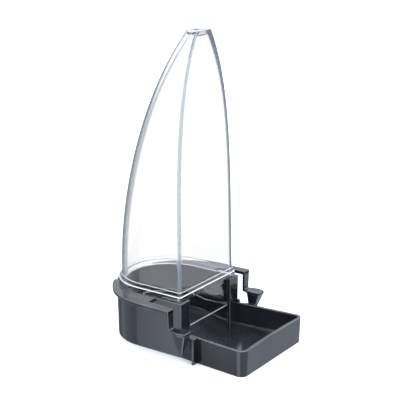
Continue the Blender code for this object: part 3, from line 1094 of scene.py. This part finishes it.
@dataclass(frozen=True)
class DSection:
    """One level of the hopper: a flat front, straight sides and a half-round back."""

    z: float
    half: float
    centre_y: float
    front_y: float
    corner: float

    ROUND_STEPS = 72
    CORNER_STEPS = 6
    RIB_RUNS = ((0.15, 1.0), (0.3, 0.0), (1.4, 0.0))    # mm past the corner's arc, and how much of the rib's painted shade it takes

    def runs(self, room: float) -> list[FlatPoint]:
        """The rib runs, cut down where a side has too little room for them."""
        return [(min(run, 0.2 * (i + 1) * room), rib) for i, (run, rib) in enumerate(self.RIB_RUNS)]

    def marked_path(self) -> list[tuple[float, float, float]]:
        """The section's outline.

        Returns:
            x, y and the share of the rib's painted shade at each point, all the way round from the right
            front corner.
        """
        inset = self.half - self.corner
        start_y = self.front_y + self.corner
        bend = [(x, y, 1.0) for x, y in arc((inset, start_y), self.corner, -90.0, 0.0, self.CORNER_STEPS)]
        along = [(self.half, start_y + run, rib) for run, rib in self.runs(self.centre_y - start_y)]
        last = along[-1][1]
        along += [(self.half, last + (self.centre_y - last) * s, 0.0) for s in (0.33, 0.67)]
        before = [(inset - run, self.front_y, rib) for run, rib in self.runs(inset)]
        right = before[::-1] + bend + along
        left = [(-x, y, rib) for x, y, rib in reversed(right)]
        back = [(x, y, 0.0) for x, y in arc((0.0, self.centre_y), self.half, 0.0, 180.0, self.ROUND_STEPS)]
        front = [(before[-1][0] * s, self.front_y, 0.0) for s in (-0.5, 0.0, 0.5)]
        return right + back + left + front

    def ring(self, lift: Callable[[float, float], float] | None = None) -> list[Point]:
        """The section's points, all the way round.

        Args:
            lift: Gives the height to add at x, y, or None for a level ring.

        Returns:
            The closed ring, in millimetres.
        """
        return [(x, y, self.z + (lift(x, y) if lift else 0.0)) for x, y, _ in self.marked_path()]

    def rib_shares(self) -> list[float]:
        """The share of the rib's painted shade at each point of the ring."""
        return [rib for _, _, rib in self.marked_path()]


@dataclass
class Hopper:
    """The clear hopper: an ogive shell, a ledge that stands on the cup and a skirt inside it."""

    finish: Material
    height: float = 200.0
    wall: float = 1.8
    wall_top: float = 3.2
    thicken_from: float = 140.0
    ledge_low: float = 36.2
    ledge_top: float = 39.3
    ledge_half: float = 31.2
    ledge_centre_y: float = 34.6
    ledge_front_y: float = 1.4
    bead_top: float = 41.8
    bead: float = 0.35
    front_low: float = 2.6
    front_high: float = 5.0
    roof: float = 2.8
    skirt_low: float = 14.9
    skirt_front_low: float = 16.7
    skirt_half_low: float = 28.6
    skirt_half_high: float = 29.7
    skirt_centre_y: float = 33.3
    corner: float = 1.5
    corner_top: float = 0.8
    inner_corner: float = 1.4
    gate_radius: float = 1.9
    gate_depth: float = 0.5
    half_curve: tuple[FlatPoint, ...] = ((29.7, 39.0), (28.1, 100.7), (32.2, 158.5), (7.6, 200.0))
    centre_curve: tuple[FlatPoint, ...] = ((33.6, 39.0), (37.76, 90.1), (13.4, 155.9), (8.7, 200.0))
    shell_steps: int = 90
    step_bias: float = 1.3          # above 1 the rings crowd towards the top, where the walls bend most
    skirt_corner: float = 1.0

    @staticmethod
    def curve_at(control: Sequence[FlatPoint], z: float) -> float:
        """The first value of a cubic Bezier curve at height z.

        Args:
            control: Its four control points, as (value, z).
            z: The height.

        Returns:
            The value there.
        """
        low, high = 0.0, 1.0
        for _ in range(40):
            t = 0.5 * (low + high)
            weights = ((1 - t) ** 3, 3 * (1 - t) ** 2 * t, 3 * (1 - t) * t**2, t**3)
            if sum(w * point[1] for w, point in zip(weights, control)) < z:
                low = t
            else:
                high = t
        return sum(w * point[0] for w, point in zip(weights, control))

    def high_share(self, z: float) -> float:
        """How far z is up the part where the walls thicken, from 0 to 1."""
        return max(0.0, (z - self.thicken_from) / (self.height - self.thicken_from))

    def outer(self, z: float) -> DSection:
        """The outer section at height z."""
        share = (z - self.ledge_top) / (self.height - self.ledge_top)
        front = self.front_low + (self.front_high - self.front_low) * share
        half = self.curve_at(self.half_curve, z)
        corner = self.corner + (self.corner_top - self.corner) * self.high_share(z)
        return DSection(z, half, self.curve_at(self.centre_curve, z), front, corner)

    def inner(self, z: float) -> DSection:
        """The inner section at height z, one wall's thickness inside the outer one."""
        step = 0.5
        here, above = self.outer(z), self.outer(min(self.height, z + step))
        rise = max(above.z - here.z, 1e-6)
        side_slope = (above.half - here.half) / rise
        back_slope = (above.half + above.centre_y - here.half - here.centre_y) / rise
        thick = self.wall + (self.wall_top - self.wall) * self.high_share(z) ** 2
        half = here.half - thick * math.hypot(1.0, side_slope)
        back = here.centre_y + here.half - thick * math.hypot(1.0, back_slope)
        return DSection(z, half, back - half, here.front_y + thick, self.inner_corner)

    def skirt_lift(self, x: float, y: float) -> float:
        """How much higher the skirt's lower edge is at x, y: up at the front, and wavy round the back."""
        front = max(0.0, 1.0 - max(0.0, y - 5.0) / 2.5)
        back = min(1.0, max(0.0, (y - 26.0) / 6.0))
        wave = 0.35 * math.sin(0.55 * y)
        return (self.skirt_front_low - self.skirt_low) * front + 2.6 * back + wave * (1.0 - front)

    def skirt(self, z: float, grow: float, set_in: float, corner: float) -> DSection:
        """The skirt's outline near its foot, grown to the sides and set in at the front."""
        return DSection(z, self.skirt_half_low + grow, self.skirt_centre_y, self.front_low + set_in, corner)

    def outer_rings(self) -> list[Ring]:
        """The outside from the skirt's lower edge up to the roof's edge."""
        low, neck, top = self.skirt_low, self.ledge_low, self.ledge_top
        foot = self.outer(top)
        plain = self.skirt_corner
        # each level ends with the strength of the painted highlight along that ring
        edge_levels = (
            (low, -0.25, 0.25, 0.75, 0.8),
            (low + 0.2, 0.0, 0.0, plain, 0.6),
            (low + 0.3, 0.0, 0.0, plain, 0.0),
        )
        rings = [(self.skirt(*sizes).ring(self.skirt_lift), painted_glint) for *sizes, painted_glint in edge_levels]

        def ledge(z: float, inset: float, corner: float) -> DSection:
            """The ledge's outline, moved in by inset."""
            half, front_y = self.ledge_half - inset, self.ledge_front_y + inset
            return DSection(z, half, self.ledge_centre_y, front_y, corner)

        def bead(z: float, proud: float) -> DSection:
            """The bead's outline, that far proud of the shell's foot."""
            return DSection(z, foot.half + proud, foot.centre_y, foot.front_y - proud, 1.2)

        # each section comes with the strength of the painted highlight along it
        levels = (
            (DSection(neck - 0.3, self.skirt_half_high, self.skirt_centre_y, self.front_low, 1.0), 0.0),
            (DSection(neck, self.skirt_half_high + 0.2, self.skirt_centre_y, self.front_low - 0.2, 1.1), 0.0),
            (ledge(neck, 0.3, 1.2), 0.0),
            (ledge(neck + 0.1, 0.1, 1.4), 0.3),
            (ledge(neck + 0.3, 0.0, 1.5), 0.0),
            (ledge(top - 0.3, 0.0, 1.5), 0.0),
            (ledge(top - 0.2, 0.0, 1.5), 0.9),
            (ledge(top - 0.08, 0.08, 1.4), 0.9),
            (ledge(top, 0.25, 1.3), 0.9),
            (ledge(top, 0.4, 1.2), 0.0),
            (bead(top, self.bead + 0.2), 0.0),
            (bead(top + 0.05, self.bead + 0.05), 0.3),
            (bead(top + 0.3, self.bead), 0.0),
            (bead(self.bead_top - 0.25, self.bead), 0.0),
            (bead(self.bead_top - 0.15, self.bead), 0.5),
            (bead(self.bead_top, self.bead - 0.2), 0.5),
            (bead(self.bead_top + 0.1, 0.05), 0.0),
        )
        rings += [(section.ring(), painted_glint) for section, painted_glint in levels]
        start, end = self.bead_top + 0.35, self.height - 0.5
        for i in range(self.shell_steps + 1):
            share = 1.0 - (1.0 - i / self.shell_steps) ** self.step_bias
            rings.append((self.outer(start + (end - start) * share).ring(), 0.0))
        edge = self.outer(end)
        # the roof's edge gets a faint painted highlight
        for z, inset in ((self.height - 0.15, 0.12), (self.height, 0.45)):
            corner = edge.corner - 0.5 * inset
            rim = DSection(z, edge.half - inset, edge.centre_y, edge.front_y + inset, corner)
            rings.append((rim.ring(), 0.15))
        return rings

    def inner_rings(self) -> list[Ring]:
        """The inside from the roof's underside down to the skirt's lower edge."""
        ceiling = self.height - self.roof
        rings = []
        for drop, inset in ((0.0, 0.8), (0.2, 0.25), (0.7, 0.0)):
            wide = self.inner(ceiling - drop)
            half, front_y = wide.half - inset, wide.front_y + inset
            section = DSection(wide.z, half, wide.centre_y, front_y, self.inner_corner)
            rings.append((section.ring(), 0.0))
        high, low = ceiling - 1.2, self.ledge_top
        for i in range(self.shell_steps + 1):
            share = (i / self.shell_steps) ** self.step_bias
            rings.append((self.inner(high + (low - high) * share).ring(), 0.0))
        wall = self.wall
        front = self.inner(self.ledge_top).front_y
        neck = DSection(self.ledge_low - 1.0, self.skirt_half_high - wall, self.skirt_centre_y, front, 0.6)
        rings.append((neck.ring(), 0.0))
        # the last value is the strength of the painted highlight along the skirt's inner edge
        for z, out, painted_glint in ((0.3, 0.0, 0.0), (0.2, 0.0, 0.5), (0.0, 0.25, 0.8)):
            section = self.skirt(self.skirt_low + z, out - wall, wall - out, 0.6)
            rings.append((section.ring(self.skirt_lift), painted_glint))
        return rings

    def shell(self) -> Piece:
        """The whole moulding as one closed wall.

        Returns:
            The piece.
        """
        build = bmesh.new()
        rib_shade_layer = build.verts.layers.float.new(RIB_SHADE_ATTRIBUTE)
        painted_glint_layer = build.verts.layers.float.new(PAINTED_GLINT_ATTRIBUTE)
        shares = self.outer(self.ledge_top).rib_shares()

        def raise_ring(ring: Ring, ribbed: bool) -> list:
            """Adds a ring's vertices, marked with their share of the ribs' painted shade and their painted
            highlight.
            """
            row = [build.verts.new(point) for point in ring[0]]
            for vertex, share in zip(row, shares):
                # the ribs' painted shade, only outside and above the bead
                vertex[rib_shade_layer] = share if ribbed and vertex.co.z > self.bead_top else 0.0
                vertex[painted_glint_layer] = ring[1]
            return row

        outside = [raise_ring(ring, True) for ring in self.outer_rings()]
        inside = [raise_ring(ring, False) for ring in self.inner_rings()]
        for rows in (outside, inside):
            for low, high in zip(rows, rows[1:]):
                bridge(build, low, high)
        bridge(build, inside[-1], outside[0])
        self.close_roof(build, outside[-1])
        build.faces.new(inside[0])
        piece = new_piece("hopper_clear_shell", mesh_from(build), 35.0)
        settle_normals(piece)
        return piece

    def close_roof(self, build: bmesh.types.BMesh, rim: list) -> None:
        """Closes the roof with a shallow gate dimple in its middle.

        Args:
            build: The shell so far.
            rim: The vertices round the roof's upper edge.
        """
        middle_y = 0.5 * (min(v.co.y for v in rim) + max(v.co.y for v in rim))
        angles = [math.atan2(v.co.y - middle_y, v.co.x) for v in rim]
        last = rim
        for grow, depth in ((0.25, 0.0), (0.0, 0.1), (-0.3, self.gate_depth)):
            radius, z = self.gate_radius + grow, self.height - depth
            circle = [(radius * math.cos(a), middle_y + radius * math.sin(a), z) for a in angles]
            ring = [build.verts.new(point) for point in circle]
            bridge(build, last, ring)
            last = ring
        build.faces.new(last)

    def make(self) -> None:
        """Builds and dresses the hopper."""
        nodes = ("hopper_front_panel", "hopper_back_shell", "hopper_roof", "hopper_ledge", "hopper_skirt")
        finish_piece(self.shell(), self.finish, Body.HOPPER, Slot.CLEAR, nodes)


# Studio


@dataclass(frozen=True)
class SideBox:
    """A tall softbox low beside the feeder: its direction, half its width and its brightness."""

    azimuth_deg: float
    half_deg: float
    level: float
    edge_deg: float = 2.5

    def share(self, tree: Tree, way: Socket) -> Socket:
        """How far a level direction lies inside the softbox.

        Args:
            tree: The surround's node tree.
            way: The direction's output, flattened to the ground and of unit length.

        Returns:
            An output that is 1 inside the softbox and 0 outside it.
        """
        turn = math.radians(self.azimuth_deg)
        aim = {0: way, 1: (math.cos(turn), math.sin(turn), 0.0)}
        near = add_node(tree, "ShaderNodeVectorMath", {"operation": "DOT_PRODUCT"}, aim).outputs["Value"]
        outer, inner = (math.cos(math.radians(self.half_deg + s * self.edge_deg)) for s in (1.0, -1.0))
        span = {"Value": near, "From Min": outer, "From Max": inner}
        return add_node(tree, "ShaderNodeMapRange", SMOOTH, span).outputs["Result"]


@dataclass
class Studio:
    """The camera, the lamp, the pale floor and the surround."""

    camera_mm: Point = (-557.4, -378.3, 292.25)
    azimuth_deg: float = 34.74
    pitch_deg: float = 16.32
    lens_mm: float = 101.66
    sensor_mm: float = 36.0
    floor_half_m: float = 8.0
    floor_colour: str = "#f4f5f6"
    air_colour: str = "#e6edf8"
    plain_level: float = 1.15
    overhead_level: float = 3.4
    room_level: float = 1.5
    dim_level: float = 0.25
    boxes: tuple[SideBox, ...] = (
        SideBox(112.0, 30.0, 0.8),
        SideBox(172.0, 30.5, 2.6),
        SideBox(262.0, 52.0, 1.0),
        SideBox(342.0, 30.0, 1.25),
    )
    lamp_place: Point = (-0.1, -0.9, 0.9)       # metres
    lamp_aim: Point = (0.0, 0.0, 0.06)
    lamp_size: FlatPoint = (0.7, 0.7)
    lamp_watts: float = 5.0
    room_rise: FlatPoint = (-0.02, 0.12)        # the height of a direction where the room begins
    overhead_rise: FlatPoint = (0.45, 0.85)

    def camera(self) -> None:
        """Places the camera and makes it the scene's own."""
        data = bpy.data.cameras.new("studio_camera")
        data.lens = self.lens_mm
        data.sensor_width = self.sensor_mm
        data.clip_end = 50.0
        item = bpy.data.objects.new("studio_camera", data)
        item.location = Vector(self.camera_mm) * MM
        turn, dip = math.radians(self.azimuth_deg), math.radians(self.pitch_deg)
        forward = Vector((math.cos(turn) * math.cos(dip), math.sin(turn) * math.cos(dip), -math.sin(dip)))
        item.rotation_euler = forward.to_track_quat("-Z", "Y").to_euler()
        bpy.context.scene.collection.objects.link(item)
        bpy.context.scene.camera = item

    def lamp(self) -> None:
        """Adds the key softbox, in front of the feeder and above it."""
        data = bpy.data.lights.new("key_softbox", "AREA")
        data.shape = "RECTANGLE"
        data.size, data.size_y = self.lamp_size
        data.energy = self.lamp_watts
        data.color = srgb("#ffffff")[:3]
        item = bpy.data.objects.new("key_softbox", data)
        item.location = self.lamp_place
        toward = Vector(self.lamp_aim) - Vector(self.lamp_place)
        item.rotation_euler = toward.to_track_quat("-Z", "Y").to_euler()
        bpy.context.scene.collection.objects.link(item)

    def floor(self) -> None:
        """Lays the pale floor that the feeder stands on. Reflections and the clear plastic don't see it."""
        reach = self.floor_half_m
        mesh = bpy.data.meshes.new("studio_floor")
        mesh.from_pydata([(x, y, 0.0) for x, y in box(-reach, reach, -reach, reach)], [], [(0, 1, 2, 3)])
        material = bpy.data.materials.new("studio_paper")
        material.use_nodes = True
        paper = {"Base Color": srgb(self.floor_colour), "Roughness": 0.9, "Specular IOR Level": 0.1}
        feed(material.node_tree, material.node_tree.nodes["Principled BSDF"], paper)
        mesh.materials.append(material)
        item = bpy.data.objects.new("studio_floor", mesh)
        item.visible_glossy = False
        item.visible_transmission = False
        bpy.context.scene.collection.objects.link(item)

    def sky(self) -> None:
        """Sets the surround.

        What the feeder reflects is bright overhead, pale at the walls, and dim low down between
        four softboxes.
        What the camera sees, directly or through the clear plastic, is plain white.
        """
        world = bpy.data.worlds.new("studio_surround")
        world.use_nodes = True
        tree = world.node_tree
        way = add_node(tree, "ShaderNodeTexCoord").outputs["Generated"]
        height = add_node(tree, "ShaderNodeSeparateXYZ", inputs={"Vector": way}).outputs["Z"]
        pressed = {0: way, 1: (1.0, 1.0, 0.0)}
        flat = add_node(tree, "ShaderNodeVectorMath", MULTIPLY, pressed).outputs["Vector"]
        unit = {"operation": "NORMALIZE"}
        ground = add_node(tree, "ShaderNodeVectorMath", unit, {0: flat}).outputs["Vector"]
        level = self.dim_level
        for softbox in self.boxes:
            inputs = {0: softbox.share(tree, ground), 2: level, 3: softbox.level}
            level = add_node(tree, "ShaderNodeMix", NUMBERS, inputs).outputs[0]
        rises = ((self.room_rise, self.room_level), (self.overhead_rise, self.overhead_level))
        for (start, end), bright in rises:
            span = {"Value": height, "From Min": start, "From Max": end}
            share = add_node(tree, "ShaderNodeMapRange", SMOOTH, span).outputs["Result"]
            level = add_node(tree, "ShaderNodeMix", NUMBERS, {0: share, 2: level, 3: bright}).outputs[0]
        lit = tree.nodes["Background"]
        feed(tree, lit, {"Color": srgb(self.air_colour), "Strength": level})
        white = {"Color": srgb("#ffffff"), "Strength": self.plain_level}
        plain = add_node(tree, "ShaderNodeBackground", inputs=white).outputs["Background"]
        path = add_node(tree, "ShaderNodeLightPath").outputs
        rays = {0: path["Is Camera Ray"], 1: path["Is Transmission Ray"]}
        seen = add_node(tree, "ShaderNodeMath", MAXIMUM, rays).outputs["Value"]
        both = add_node(tree, "ShaderNodeMixShader", inputs={0: seen, 1: lit.outputs["Background"], 2: plain})
        feed(tree, tree.nodes["World Output"], {"Surface": both.outputs["Shader"]})
        bpy.context.scene.world = world
        bpy.context.scene.view_settings.view_transform = "Standard"

    def make(self) -> None:
        """Builds the whole studio."""
        self.camera()
        self.floor()
        self.sky()
        self.lamp()


def main() -> None:
    """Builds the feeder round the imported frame, then the studio."""
    logging.basicConfig(level=logging.INFO, format="%(name)s %(message)s")
    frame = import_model()
    LOG.info("frame has %d nodes", len(frame["nodes"]))
    Studio().make()
    anthracite, clear = MouldedStyrene().build(), ClearStyrene().build()
    cup = Cup(anthracite)
    tray = Tray(anthracite, cup)
    for assembly in (cup, tray, Hooks(anthracite, cup), WireStops(anthracite, tray), Hopper(clear)):
        assembly.make()


if __name__ == "__main__":
    main()
